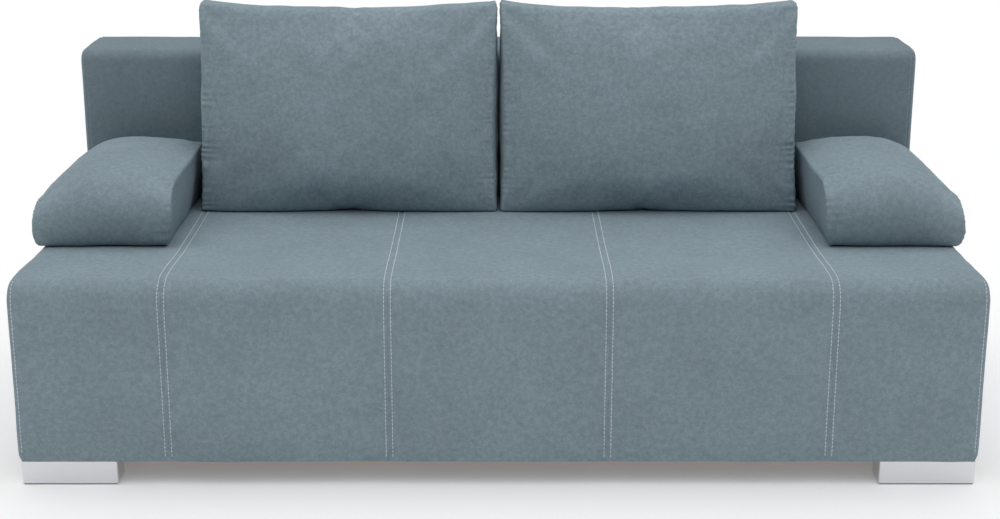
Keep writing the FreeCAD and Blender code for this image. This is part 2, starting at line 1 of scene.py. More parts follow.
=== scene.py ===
# %% [markdown]
# # A pull-out sofa bed in grey-blue cloth
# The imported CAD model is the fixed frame: boards, rails, rollers, arms and feet are in it,
# each on the body that it moves with. This lesson makes what it lacks, the upholstery, the
# loose cushions and the stitching, and gives every part a finish made of shader nodes.

# %% Load the frame and keep its size
import math
from contextlib import contextmanager

import bmesh
import bpy
import numpy as np
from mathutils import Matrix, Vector
from mathutils.bvhtree import BVHTree


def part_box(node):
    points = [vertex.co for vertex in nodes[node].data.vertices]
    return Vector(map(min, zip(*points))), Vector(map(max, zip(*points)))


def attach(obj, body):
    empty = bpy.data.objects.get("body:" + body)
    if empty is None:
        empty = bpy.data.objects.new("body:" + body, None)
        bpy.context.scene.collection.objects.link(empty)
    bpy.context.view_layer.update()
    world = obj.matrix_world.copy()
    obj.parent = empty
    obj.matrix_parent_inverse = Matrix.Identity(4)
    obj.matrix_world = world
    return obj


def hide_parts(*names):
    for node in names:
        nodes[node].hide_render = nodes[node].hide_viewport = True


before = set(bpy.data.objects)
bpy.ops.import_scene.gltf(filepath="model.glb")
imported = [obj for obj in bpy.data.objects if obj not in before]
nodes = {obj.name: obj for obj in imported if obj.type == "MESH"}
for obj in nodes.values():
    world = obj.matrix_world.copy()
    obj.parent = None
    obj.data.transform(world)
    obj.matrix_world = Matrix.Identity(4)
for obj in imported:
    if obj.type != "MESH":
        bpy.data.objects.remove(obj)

for spare in ("Cube", "Light", "Camera"):
    if spare in bpy.data.objects:
        bpy.data.objects.remove(bpy.data.objects[spare])
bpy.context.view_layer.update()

# %% [markdown]
# ## Camera
# A sofa of two metres is best seen from nearly four metres away, at the height of someone
# standing, looking slightly down.

# %% Place the camera
bpy.ops.object.select_all(action="DESELECT")
bpy.ops.object.camera_add(location=(0, -3.6855, 1.487), rotation=(math.radians(74.478), 0, 0))
camera = bpy.context.object
camera.name = "camera"
camera.data.lens = 60.15
camera.data.shift_x = 0.0015
camera.data.shift_y = -0.05
camera.data.clip_end = 200
bpy.context.scene.camera = camera

# %% [markdown]
# ## Working by hand, in code
# Pick an object, go into edit mode, select some faces or edges, run an operator: these
# helpers do just that. Selection is by place, as an index changes when anything is cut.

# %% Helpers for picking and editing
def pick(obj):
    """Selects this object alone and makes it the active one."""
    bpy.ops.object.select_all(action="DESELECT")
    obj.select_set(True)
    bpy.context.view_layer.objects.active = obj


@contextmanager
def editing(obj, kind="FACE"):
    """Edit mode on one object, with nothing selected at the start."""
    pick(obj)
    bpy.ops.object.mode_set(mode="EDIT")
    bpy.ops.mesh.select_mode(type=kind)
    bpy.ops.mesh.select_all(action="DESELECT")
    yield
    bpy.ops.object.mode_set(mode="OBJECT")


def select(obj, kind, test):
    """In edit mode, selects the faces or edges that pass test(middle, direction)."""
    mesh = bmesh.from_edit_mesh(obj.data)
    for part in getattr(mesh, kind):
        middle = sum((v.co for v in part.verts), Vector()) / len(part.verts)
        if kind == "faces":
            direction = part.normal
        else:
            direction = (part.verts[1].co - part.verts[0].co).normalized()
        part.select_set(bool(test(middle, direction)))
    mesh.select_flush_mode()
    bmesh.update_edit_mesh(obj.data)


def round_edges(obj, radius, segments, test):
    """Bevels the edges that pass the test to a radius."""
    with editing(obj, "EDGE"):
        select(obj, "edges", test)
        bpy.ops.mesh.bevel(offset=radius, segments=segments, profile=0.5)


def near(a, b, reach=0.0005):
    return abs(a - b) < reach


def make_box(name, low, high):
    """A block between two corners, with its place in its mesh."""
    low, high = Vector(low), Vector(high)
    bpy.ops.object.select_all(action="DESELECT")
    bpy.ops.mesh.primitive_cube_add(size=1, location=(low + high) / 2)
    obj = bpy.context.object
    obj.scale = high - low
    bpy.ops.object.transform_apply(location=True, rotation=True, scale=True)
    obj.name = obj.data.name = name
    return obj


def cut(obj, axis, places):
    """Flat cuts through the whole piece, square to an axis."""
    with editing(obj):
        for place in places:
            point, normal = [0.0] * 3, [0.0] * 3
            point[axis], normal[axis] = place, 1.0
            bpy.ops.mesh.select_all(action="SELECT")
            bpy.ops.mesh.bisect(plane_co=point, plane_no=normal)


def steps(start, end, size):
    """Places of even cuts between start and end, about size apart."""
    count = max(1, round(abs(end - start) / size))
    return [start + (end - start) * i / count for i in range(1, count)]


def apply_all(obj):
    """Applies each modifier, first to last."""
    pick(obj)
    for modifier in list(obj.modifiers):
        bpy.ops.object.modifier_apply(modifier=modifier.name)


def modify(obj, kind, **settings):
    """Adds a modifier with its settings."""
    modifier = obj.modifiers.new(kind.lower(), kind)
    for key, value in settings.items():
        setattr(modifier, key, value)


def repeat(obj, pitch, count):
    """An Array along X."""
    modify(obj, "ARRAY", use_relative_offset=False, use_constant_offset=True,
           constant_offset_displace=(pitch, 0, 0), count=count)


def subdivide_smooth(obj, levels):
    modify(obj, "SUBSURF", levels=levels, render_levels=levels)
    apply_all(obj)


def line_object(name, runs):
    """A curve object made of straight runs."""
    curve = bpy.data.curves.new(name, "CURVE")
    curve.dimensions = "3D"
    for spots in runs:
        spline = curve.splines.new("POLY")
        spline.points.add(len(spots) - 1)
        for point, spot in zip(spline.points, spots):
            point.co = (*spot, 1)
    obj = bpy.data.objects.new(name, curve)
    bpy.context.scene.collection.objects.link(obj)
    return obj


def join(parts, name):
    pick(parts[0])
    for part in parts:
        part.select_set(True)
    bpy.ops.object.join()
    parts[0].name = parts[0].data.name = name
    return parts[0]


# %% Helpers that read and move all points of a mesh at once
def read(data, field):
    """One vector for each item, as rows of an array."""
    values = np.empty(len(data) * 3, np.float32)
    data.foreach_get(field, values)
    return values.reshape(-1, 3).astype(float)


def points(obj):
    return read(obj.data.vertices, "co")


def outward(obj):
    """The direction that each point faces."""
    return read(obj.data.vertex_normals, "vector")


def put_points(obj, place):
    obj.data.vertices.foreach_set("co", place.astype(np.float32).ravel())
    obj.data.update()


def swell(place, size, seed, waves=9):
    """Smooth random hills and hollows of about this size, from -1 to 1."""
    random = np.random.default_rng(seed)
    height = np.zeros(len(place))
    for _ in range(waves):
        direction = random.normal(size=3)
        direction /= np.linalg.norm(direction)
        length = size * random.uniform(0.7, 1.6)
        height += np.sin(place @ direction * 2 * math.pi / length + random.uniform(0, 6.283))
    return height / math.sqrt(waves)


def bump(distance, width):
    """1 on a line and fading to 0 within about twice the width."""
    return np.exp(-((distance / width) ** 2))


def ramp(value, start, end):
    """Smooth step from 0 at start to 1 at end."""
    t = np.clip((value - start) / (end - start), 0, 1)
    return t * t * (3 - 2 * t)


# %% [markdown]
# ## Node groups
# Cloth colour, weave, grain and dust each turn up in more than one finish, so each is a
# node group with named sockets. A group puts out only colours, masks and heights; the
# Principled shader stays in the material.

# %% Helpers that build node trees
def new_group(name, inputs, outputs):
    """A shader node group with a Point and more inputs, given as (name, kind, value)."""
    tree = bpy.data.node_groups.new(name, "ShaderNodeTree")
    kinds = {"value": "NodeSocketFloat", "colour": "NodeSocketColor", "vector": "NodeSocketVector"}
    for title, kind, value in (("Point", "vector", None), *inputs):
        socket = tree.interface.new_socket(title, in_out="INPUT", socket_type=kinds[kind])
        if value is not None:
            socket.default_value = value
    for title, kind in outputs:
        tree.interface.new_socket(title, in_out="OUTPUT", socket_type=kinds[kind])
    return tree, tree.nodes.new("NodeGroupInput"), tree.nodes.new("NodeGroupOutput")


def feed(node, inputs):
    """Sets inputs by name or number, each to a plain value or linked from a socket."""
    for key, value in inputs.items():
        if isinstance(value, bpy.types.NodeSocket):
            node.id_data.links.new(value, node.inputs[key])
        else:
            node.inputs[key].default_value = value
    return node


def add_node(tree, kind, settings=None, **values):
    """One node, with its settings and its inputs; i0 stands for the first input."""
    node = tree.nodes.new("ShaderNode" + kind)
    for key, value in (settings or {}).items():
        setattr(node, key, value)
    named = lambda key: int(key[1:]) if key[0] == "i" and key[1:].isdigit() else key.replace("_", " ")
    return feed(node, {named(key): value for key, value in values.items()})


def maths(tree, operation, a, b=0.0):
    return add_node(tree, "Math", {"operation": operation}, i0=a, i1=b).outputs[0]


def times(tree, a, b):
    return maths(tree, "MULTIPLY", a, b)


def mix_colour(tree, amount, a, b, blend="MIX"):
    node = add_node(tree, "Mix", {"data_type": "RGBA", "blend_type": blend})
    return feed(node, {0: amount, 6: a, 7: b}).outputs[2]


def tint(tree, colour, amount):
    """Darkens or lightens a colour by a number."""
    grey = add_node(tree, "CombineColor", Red=amount, Green=amount, Blue=amount)
    return mix_colour(tree, 1.0, colour, grey.outputs[0], "MULTIPLY")


def noise(tree, scale, detail, **more):
    """Noise over the Point of the group that is being built."""
    return add_node(tree, "TexNoise", Vector=given.outputs["Point"], Scale=scale, Detail=detail,
                    **more).outputs["Fac"]


def spread(tree, value, low, high, to_low=0.0, to_high=1.0):
    """Maps a range of values to another, clamped."""
    numbers = {0: value, 1: low, 2: high, 3: to_low, 4: to_high}
    return feed(add_node(tree, "MapRange"), numbers).outputs[0]


# %% [markdown]
# ## Floor and light
# A white floor under a sky that grows brighter towards the zenith: tops are bright, fronts
# get most of their light from the floor, and recesses fall dark. The floor glows a little,
# to come near the white behind it.

# %% Floor
FLOOR_SIZE = 80
FLOOR_COLOUR = (0.84, 0.84, 0.845, 1)
FLOOR_GLOW = 0.17
bpy.ops.mesh.primitive_plane_add(size=FLOOR_SIZE)
floor = bpy.context.object
floor.name = "floor"
floor_paint = bpy.data.materials.new("studio_floor")
floor_paint.use_nodes = True
floor_shader = floor_paint.node_tree.nodes["Principled BSDF"]
feed(floor_shader, {"Base Color": FLOOR_COLOUR, "Emission Color": (1, 1, 1, 1),
                    "Emission Strength": FLOOR_GLOW, "Roughness": 0.9, "Specular IOR Level": 0.0})
floor.data.materials.append(floor_paint)

# %% Sky that brightens towards the zenith
ZENITH = 2.86
FALLOFF = 2.6
SKY_SEEN = 0.99
world = bpy.data.worlds.new("studio")
bpy.context.scene.world = world
world.use_nodes = True
sky = world.node_tree
sky.nodes.clear()
rise = add_node(sky, "SeparateXYZ", i0=add_node(sky, "TexCoord").outputs["Generated"]).outputs["Z"]
rise = maths(sky, "POWER", maths(sky, "MAXIMUM", rise), FALLOFF)
light = add_node(sky, "Background", Strength=times(sky, rise, ZENITH))
seen = add_node(sky, "Background", Color=(SKY_SEEN, SKY_SEEN, SKY_SEEN, 1))
path = add_node(sky, "LightPath")
choose = add_node(sky, "MixShader", i0=path.outputs["Is Camera Ray"],
                  i1=light.outputs[0], i2=seen.outputs[0])
add_node(sky, "OutputWorld", Surface=choose.outputs[0])
bpy.context.scene.view_settings.view_transform = "Standard"

# %% [markdown]
# Now the groups themselves, each built once.

# %% Cloth colour group
tree, given, result = new_group(
    "cloth_colour",
    [("Colour", "colour", (0.2, 0.25, 0.28, 1)),
     ("Light fibre", "colour", (0.3, 0.36, 0.4, 1)), ("Dark fibre", "colour", (0.12, 0.16, 0.18, 1)),
     ("Mottle", "value", 0.5), ("Nap", "value", 0.5)],
    [("Colour", "colour"), ("Roughness", "value")])
fine = noise(tree, 620.0, 2.0, Roughness=0.7)
patch = noise(tree, 95.0, 4.0, Roughness=0.72)
broad = noise(tree, 7.0, 3.0, Roughness=0.55)
light_part = times(tree, spread(tree, patch, 0.48, 0.70), given.outputs["Mottle"])
dark_part = times(tree, spread(tree, patch, 0.52, 0.30), given.outputs["Mottle"])
tone = mix_colour(tree, light_part, given.outputs["Colour"], given.outputs["Light fibre"])
tone = mix_colour(tree, dark_part, tone, given.outputs["Dark fibre"])
tone = tint(tree, tone, spread(tree, fine, 0.3, 0.7, 0.80, 1.20))
nap = times(tree, spread(tree, broad, 0.3, 0.7, -0.05, 0.05), given.outputs["Nap"])
tone = tint(tree, tone, maths(tree, "ADD", nap, 1.0))
feed(result, {"Colour": tone, "Roughness": spread(tree, patch, 0.3, 0.7, 0.82, 0.96)})
cloth_colour = tree

# %% Weave height group
tree, given, result = new_group(
    "weave_height",
    [("Pitch", "value", 0.0016), ("Fuzz", "value", 0.5)],
    [("Height", "value")])
turns = maths(tree, "DIVIDE", 6.2832, given.outputs["Pitch"])
scaled = add_node(tree, "VectorMath", {"operation": "SCALE"}, i0=given.outputs["Point"], i3=turns)
axes = add_node(tree, "SeparateXYZ", i0=scaled.outputs[0])
waves = []
for first, second in (("X", "Y"), ("Y", "Z"), ("Z", "X")):
    sine = maths(tree, "SINE", axes.outputs[first])
    cosine = maths(tree, "COSINE", axes.outputs[second])
    waves.append(times(tree, sine, cosine))
weave = maths(tree, "ADD", maths(tree, "ADD", waves[0], waves[1]), waves[2])
fuzz = maths(tree, "ADD", noise(tree, 900.0, 2.0), noise(tree, 140.0, 3.0))
fuzz = times(tree, fuzz, given.outputs["Fuzz"])
weave = times(tree, weave, 0.35)
feed(result, {"Height": maths(tree, "ADD", weave, fuzz)})
weave_height = tree

# %% Grain group, for wood and for brushed metal
tree, given, result = new_group(
    "grain",
    [("Scale", "value", 30.0), ("Contrast", "value", 0.5)],
    [("Mask", "value"), ("Height", "value")])
coarse = noise(tree, given.outputs["Scale"], 6.0, Roughness=0.6, Distortion=0.6)
fibre = noise(tree, times(tree, given.outputs["Scale"], 7.0), 3.0)
both = maths(tree, "ADD", times(tree, coarse, 0.6), times(tree, fibre, 0.4))
half = times(tree, given.outputs["Contrast"], 0.25)
low_end = maths(tree, "SUBTRACT", 0.5, half)
high_end = maths(tree, "ADD", 0.5, half)
feed(result, {"Mask": spread(tree, both, 0.35, 0.65, low_end, high_end), "Height": both})
grain = tree

# %% Dust and wear group
tree, given, result = new_group(
    "dust",
    [("Colour", "colour", (0.5, 0.5, 0.5, 1)),
     ("Dust", "colour", (0.45, 0.43, 0.4, 1)), ("Amount", "value", 0.15)],
    [("Colour", "colour"), ("Mask", "value")])
mask = spread(tree, noise(tree, 22.0, 6.0, Roughness=0.7), 0.45, 0.75)
mask = times(tree, mask, given.outputs["Amount"])
dusted = mix_colour(tree, mask, given.outputs["Colour"], given.outputs["Dust"])
feed(result, {"Colour": dusted, "Mask": mask})
dust = tree


# %% Helpers that build materials
def start_material(name, **constants):
    """A material with a Principled shader, its plain numbers, and Object coordinates."""
    material = bpy.data.materials.new(name)
    material.use_nodes = True
    tree = material.node_tree
    shader = tree.nodes["Principled BSDF"]
    for key, value in constants.items():
        shader.inputs[key.replace("_", " ")].default_value = value
    place = add_node(tree, "TexCoord").outputs["Object"]
    return material, tree, shader, place


def use_group(tree, group, **values):
    return add_node(tree, "Group", {"node_tree": group}, **values)


def add_bump(tree, shader, height, distance, strength=1.0):
    node = add_node(tree, "Bump", Height=height, Distance=distance, Strength=strength)
    feed(shader, {"Normal": node.outputs[0]})


# %% [markdown]
# ## Cloth
# The cover is a brushed, faintly mottled cloth: from afar one grey-blue with soft clouds,
# close up fibres in a fine weave, with a sheen where the nap catches the light. The
# backrest's cloth is made a little darker as painted shade for its recessed face, and the
# back cushions' a little paler as painted light on their fronts.

# %% Cloth materials
def cloth_finish(name, colour, light, dark, mottle, nap, pitch, fuzz, lift, strength, **constants):
    """The cloth groups on one shader; unless a Roughness is given, the colour group's is used."""
    material, tree, shader, place = start_material(name, **constants)
    look = use_group(tree, cloth_colour, Point=place, Colour=(*colour, 1), Light_fibre=(*light, 1),
                     Dark_fibre=(*dark, 1), Mottle=mottle, Nap=nap)
    feed(shader, {"Base Color": look.outputs["Colour"]})
    if "Roughness" not in constants:
        feed(shader, {"Roughness": look.outputs["Roughness"]})
    height = use_group(tree, weave_height, Point=place, Pitch=pitch, Fuzz=fuzz)
    add_bump(tree, shader, height.outputs["Height"], lift, strength)
    return material


def cover_cloth(name, colour, light, dark, mottle):
    return cloth_finish(name, colour, light, dark, mottle, 1.0, 0.0017, 1.1, 0.0004, 0.55,
                        Sheen_Weight=0.22, Sheen_Roughness=0.45, Sheen_Tint=(0.72, 0.82, 0.9, 1),
                        Specular_IOR_Level=0.12)


upholstery = cover_cloth("upholstery_cloth", (0.240, 0.310, 0.350), (0.296, 0.370, 0.412),
                         (0.188, 0.249, 0.284), 0.65)
# Painted shade: the backrest gets the same cloth made darker, standing in for the shade on its recessed
# face.
shaded_backrest_cloth = cover_cloth("shaded_backrest_cloth", (0.198, 0.258, 0.291), (0.242, 0.304, 0.339),
                             (0.160, 0.212, 0.243), 0.5)
# Painted light: the back cushions get the same cloth made paler, standing in for the light on their
# fronts.
cushion_cloth = cover_cloth("cushion_cloth", (0.270, 0.346, 0.390), (0.334, 0.415, 0.461),
                            (0.212, 0.280, 0.319), 0.75)
thread_paint = cloth_finish("stitching_thread", (0.72, 0.78, 0.81), (0.84, 0.88, 0.90),
                            (0.58, 0.64, 0.67), 0.6, 0.5, 0.0006, 0.5, 0.0001, 1.0,
                            Roughness=0.55, Sheen_Weight=0.3, Specular_IOR_Level=0.3)

# %% [markdown]
# ## The finishes of the frame
# Timber and board get grain, steel a fine brushing and a little dust, plastics a soft
# mottled surface. Most of it shows only when the sofa is pulled out, or from underneath.

# %% Wood, board and metal
def grained(name, light, dark, scale, stretch, contrast, roughness, metallic=0.0, lift=0.0004,
            dust_amount=0.1):
    """A finish with a grain stretched along one axis, under a little dust."""
    material, tree, shader, place = start_material(name, Metallic=metallic)
    mapping = add_node(tree, "Mapping", Vector=place, Scale=stretch)
    lines = use_group(tree, grain, Point=mapping.outputs[0], Scale=scale, Contrast=contrast)
    tone = mix_colour(tree, lines.outputs["Mask"], (*dark, 1), (*light, 1))
    dusty = use_group(tree, dust, Point=place, Colour=tone, Amount=dust_amount)
    rough = spread(tree, lines.outputs["Mask"], 0.0, 1.0, roughness - 0.06, roughness + 0.06)
    feed(shader, {"Base Color": dusty.outputs["Colour"], "Roughness": rough})
    add_bump(tree, shader, lines.outputs["Height"], lift, 0.5)
    return material


EVEN = (1, 1, 1)
finish = {
    "timber": grained("planed_pine", (0.62, 0.43, 0.24), (0.40, 0.23, 0.10), 26,
                      (0.25, 1.2, 1.2), 1.6, 0.6),
    "hardboard": grained("hardboard", (0.33, 0.21, 0.12), (0.20, 0.12, 0.07), 60, EVEN, 1.0, 0.65),
    "zinc_steel": grained("zinc_plated_steel", (0.62, 0.63, 0.66), (0.42, 0.43, 0.46), 150,
                          EVEN, 1.0, 0.34, 1.0, 0.0001, 0.04),
    "black_steel": grained("black_lacquered_steel", (0.045, 0.046, 0.050), (0.022, 0.023, 0.025),
                           220, EVEN, 0.8, 0.42, 0.0, 0.0003, 0.06),
    "foot_metal": grained("satin_foot", (0.80, 0.80, 0.82), (0.69, 0.69, 0.72), 90,
                          (0.12, 2.0, 6.0), 0.8, 0.36, 1.0, 0.00005, 0.02),
    "zip_metal": grained("zip_metal", (0.36, 0.37, 0.39), (0.22, 0.23, 0.25), 260,
                         EVEN, 1.0, 0.35, 1.0, 0.0001, 0.02),
}


# %% Plastic, rubber, foam, felt, webbing
def speckled(name, colour, light, dark, mottle, pitch, roughness, lift, **more):
    """A dull finish from the cloth groups, with its own scale."""
    return cloth_finish(name, colour, light, dark, mottle, 0.6, pitch, 1.0, lift, 0.6,
                        Roughness=roughness, **more)


finish.update({
    "black_plastic": speckled("black_plastic", (0.035, 0.035, 0.037), (0.05, 0.05, 0.053),
                              (0.02, 0.02, 0.022), 0.5, 0.0012, 0.48, 0.0001),
    "white_nylon": speckled("white_nylon", (0.70, 0.69, 0.65), (0.78, 0.77, 0.74),
                            (0.60, 0.58, 0.53), 0.3, 0.003, 0.4, 0.0001, Subsurface_Weight=0.1),
    "rubber": speckled("rubber", (0.028, 0.027, 0.026), (0.04, 0.04, 0.04),
                       (0.018, 0.018, 0.018), 0.5, 0.002, 0.8, 0.0002),
    "foam": speckled("foam", (0.72, 0.62, 0.40), (0.80, 0.72, 0.52),
                     (0.58, 0.48, 0.28), 0.6, 0.0024, 0.95, 0.0008),
    "filling": speckled("fibre_filling", (0.80, 0.79, 0.76), (0.88, 0.88, 0.86),
                        (0.68, 0.67, 0.64), 0.6, 0.004, 0.95, 0.001),
    "felt": speckled("felt", (0.25, 0.24, 0.23), (0.42, 0.40, 0.38),
                     (0.10, 0.10, 0.10), 0.9, 0.003, 0.98, 0.0008),
    "lining": speckled("black_lining", (0.022, 0.022, 0.024), (0.045, 0.045, 0.05),
                       (0.012, 0.012, 0.013), 0.7, 0.0011, 0.85, 0.0003),
    "webbing": speckled("elastic_webbing", (0.045, 0.045, 0.05), (0.50, 0.10, 0.08),
                        (0.02, 0.02, 0.022), 0.25, 0.0022, 0.8, 0.0006),
    "zip_plastic": speckled("zip_plastic", (0.10, 0.13, 0.15), (0.14, 0.18, 0.20),
                            (0.06, 0.08, 0.09), 0.5, 0.0014, 0.5, 0.0002),
    "upholstery": upholstery,
    "cushion_cloth": cushion_cloth,
})

# %% Put the finishes on the frame
for name, node in nodes.items():
    for place_on in node.material_slots:
        slot_name = place_on.material.name.split(".")[0]
        if slot_name in finish:
            place_on.material = finish[slot_name]
        else:
            print("no finish for", name, slot_name)


def dress(obj, material, body, replaced=()):
    """Gives a finished piece its material, the body it rides on and what it stands for."""
    obj.data.materials.clear()
    obj.data.materials.append(material)
    pick(obj)
    bpy.ops.object.shade_smooth()
    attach(obj, body)
    if replaced:
        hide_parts(*replaced)
    low, high = points(obj).min(0), points(obj).max(0)
    print(obj.name, "faces", len(obj.data.polygons), "from", low.round(4), "to", high.round(4))
    return obj


# %% [markdown]
# ## The seat
# The seat and its deep front are one block of foam in one sewn cover. It starts as a cube;
# its front strip is extruded down, the long edges are bevelled to the foam's radius, and
# then both ends are bevelled as one outline. Cuts near the seams hold the subdivision.

# %% Seat block
seat_low, seat_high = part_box("seat_cover")
apron_low, apron_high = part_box("apron_cover")
SEAT_REAR_TOP = 0.236
SEAT_REAR_LOW = 0.215
FRONT_RADIUS = 0.045
REAR_RADIUS = 0.030
END_RADIUS = 0.017
FRONT_CROWN = 0.008
UNDER = apron_low.z
seat = make_box("seat_upholstery", (seat_low.x, seat_low.y, seat_low.z),
                (seat_high.x, SEAT_REAR_TOP, seat_high.z))
with editing(seat, "EDGE"):
    select(seat, "edges", lambda m, d: near(m.y, SEAT_REAR_TOP) and near(m.z, seat_low.z))
    bpy.ops.transform.translate(value=(0, SEAT_REAR_LOW - SEAT_REAR_TOP, 0))
cut(seat, 1, [apron_high.y])
with editing(seat):
    select(seat, "faces", lambda m, n: n.z < -0.9 and m.y < apron_high.y)
    bpy.ops.mesh.extrude_region_move(TRANSFORM_OT_translate={"value": (0, 0, UNDER - seat_low.z)})
round_edges(seat, FRONT_RADIUS, 6, lambda m, d: near(m.y, seat_low.y) and near(m.z, seat_high.z))
round_edges(seat, REAR_RADIUS, 4, lambda m, d: near(m.y, SEAT_REAR_TOP) and near(m.z, seat_high.z))
round_edges(seat, END_RADIUS, 3, lambda m, d: near(abs(m.x), seat_high.x) and abs(d.x) < 0.1)

# %% Cuts for the seams and an even grid
SEAMS = (-0.685, -0.226, 0.226, 0.685)
ROW_OFFSET = 0.007
BESIDE_SEAM = (-0.018, -0.0105, -0.007, -0.0035, 0, 0.0035, 0.007, 0.0105, 0.018)
seam_cuts = [seam + aside for seam in SEAMS for aside in BESIDE_SEAM]
fields = [-0.983, *SEAMS, 0.983]
even_cuts = [x for a, b in zip(fields, fields[1:]) for x in steps(a, b, 0.055)]
even_cuts += [-0.976, 0.976]
cut(seat, 0, sorted(seam_cuts + even_cuts))
cut(seat, 1, steps(-0.435, 0.206, 0.055) + [-0.470, -0.422])
cut(seat, 2, steps(UNDER, 0.39, 0.055) + [UNDER + 0.006, seat_low.z + 0.006])
subdivide_smooth(seat, 2)

# %% [markdown]
# Foam under cloth is never quite flat. Each panel between two seams stands a little proud,
# the seams lie in a shallow valley, and both rows of stitching press small furrows.

# %% Crown the panels and press the seams
PANEL_CROWN, SEAM_DEPTH, ROW_DEPTH, VALLEY_DEPTH = 0.0022, 0.0016, 0.0008, 0.0010
END_SEAM = 0.988
place, way = points(seat), outward(seat)
upper = np.clip(way[:, 2], 0, 1)
front = np.clip(-way[:, 1], 0, 1)
shown = np.clip(upper + front, 0, 1)
offset = np.zeros(len(place))
edges = np.array([-1.0, *SEAMS, 1.0])
for left, right in zip(edges, edges[1:]):
    inside = (place[:, 0] >= left) & (place[:, 0] < right)
    across = np.clip((place[:, 0] - left) / (right - left), 0, 1)
    offset += np.where(inside, np.sin(across * math.pi) ** 0.7, 0) * PANEL_CROWN
for seam in SEAMS:
    side = np.abs(place[:, 0] - seam)
    offset -= SEAM_DEPTH * bump(side, 0.0024) + ROW_DEPTH * bump(side - ROW_OFFSET, 0.0022)
    offset -= VALLEY_DEPTH * bump(side, 0.016)
offset += 0.0012 * swell(place, 0.22, 1) + 0.0005 * swell(place, 0.07, 2)
edge_seam = np.abs(np.abs(place[:, 0]) - END_SEAM)
offset -= front * 0.0009 * bump(edge_seam, 0.0025)
hem = ramp(place[:, 2], UNDER + 0.03, UNDER)
offset -= hem * 0.001
place += way * (offset * shown)[:, None]
place[:, 2] = np.minimum(place[:, 2], seat_high.z + 0.0002)
place[:, 2] += FRONT_CROWN * bump(place[:, 1] + 0.395, 0.110) * ramp(place[:, 2], 0.33, 0.43)
put_points(seat, place)
dress(seat, upholstery, "seat",
      ("seat_cover", "apron_cover", "seat_foam", "apron_foam"))

# %% [markdown]
# ## The backrest
# The same recipe, simpler: a block with rounded long edges. When the bed is opened it
# turns about two steel arms, so its cover has a slit for each arm, cut with a boolean.

# %% Backrest block
back_low, back_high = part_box("backrest_cover")
backrest = make_box("backrest_upholstery", back_low, back_high)
for edge_z, radius in ((back_low.z, 0.040), (back_high.z, 0.030)):
    round_edges(backrest, radius, 5, lambda m, d: abs(d.x) > 0.9 and near(m.z, edge_z))
round_edges(backrest, END_RADIUS, 3, lambda m, d: near(abs(m.x), back_high.x) and abs(d.x) < 0.1)
cut(backrest, 0, [-0.990, -0.987, -0.984, -0.976, *steps(-0.976, 0.976, 0.055),
                  0.976, 0.984, 0.987, 0.990])
cut(backrest, 1, steps(back_low.y + 0.04, back_high.y - 0.04, 0.045))
cut(backrest, 2, steps(back_low.z + 0.04, back_high.z - 0.03, 0.055))
subdivide_smooth(backrest, 2)
place, way = points(backrest), outward(backrest)
face = np.clip(-way[:, 1], 0, 1) + np.clip(way[:, 2], 0, 1)
crown = (1 - (place[:, 0] / 1.0) ** 6) * (1 - ((place[:, 2] - 0.4975) / 0.2925) ** 4)
waviness = 0.0008 * swell(place, 0.25, 3) + 0.0004 * swell(place, 0.08, 4)
offset = np.clip(face, 0, 1) * waviness + 0.001 * face * crown
offset -= 0.0012 * bump(np.abs(np.abs(place[:, 0]) - 0.987), 0.0022)
place += way * offset[:, None]
place[:, 1] = np.maximum(place[:, 1], back_low.y - 0.0012)
put_points(backrest, place)

# %% Slits for the steel arms
SLIT = (0.935, 0.943)
SLIT_REAR, SLIT_TOP = 0.399, 0.351
for sign in (-1, 1):
    x0, x1 = sorted((sign * SLIT[0], sign * SLIT[1]))
    blade = make_box("blade", (x0, 0.2, 0.15), (x1, SLIT_REAR, SLIT_TOP))
    modify(backrest, "BOOLEAN", operation="DIFFERENCE", object=blade)
    apply_all(backrest)
    bpy.data.objects.remove(blade)
# The backrest wears the darker cloth, which is painted shade.
dress(backrest, shaded_backrest_cloth, "backrest", ("backrest_cover", "backrest_foam"))

# %% [markdown]
# ## Loose cushions
# A cushion is a flat-cut case blown up by its filling: a long panel that goes over front,
# top, back and bottom, and two side panels. Its seams can't stretch, so the middles come
# out, the edges between the corners draw in, and the corners stay behind as ears. A cloth
# simulation with air pressure does just that. Before it, each point stores where it was
# cut from, so that seams and puckers can be pressed in at the right place afterwards.

# %% Blow up a case
INFLATE_FRAMES = 24


def inflate(case, pressure, cap):
    """Simulates the case as cloth under air pressure; no point moves further than the cap."""
    start = points(case)
    cloth = case.modifiers.new("cloth", "CLOTH")
    settings = cloth.settings
    settings.quality = 6
    settings.mass = 0.25
    settings.tension_stiffness = settings.compression_stiffness = 25.0
    settings.shear_stiffness = 8.0
    settings.bending_stiffness = 0.8
    settings.use_pressure = True
    settings.uniform_pressure_force = pressure
    settings.effector_weights.gravity = 0
    cloth.point_cache.frame_start, cloth.point_cache.frame_end = 1, INFLATE_FRAMES
    for number in range(1, INFLATE_FRAMES + 1):
        bpy.context.scene.frame_set(number)
    apply_all(case)
    bpy.context.scene.frame_set(1)
    move = points(case) - start
    length = np.linalg.norm(move, axis=1)
    print(case.name, "moved up to", round(length.max() * 1000, 1), "mm")
    move *= np.minimum(1, cap / np.maximum(length, 1e-9))[:, None]
    put_points(case, start + move)


def remember_cut(case):
    """Stores where each point lies on the uninflated case."""
    attribute = case.data.attributes.new("cut", "FLOAT_VECTOR", "POINT")
    attribute.data.foreach_set("vector", points(case).astype(np.float32).ravel())


def recall_cut(case):
    return read(case.data.attributes["cut"].data, "vector")


def fit(case, low, high):
    """Stretches the piece evenly along each axis until it fills the space."""
    place = points(case)
    now_low, now_high = place.min(0), place.max(0)
    place = low + (place - now_low) * (np.array(high) - low) / (now_high - now_low)
    put_points(case, place)


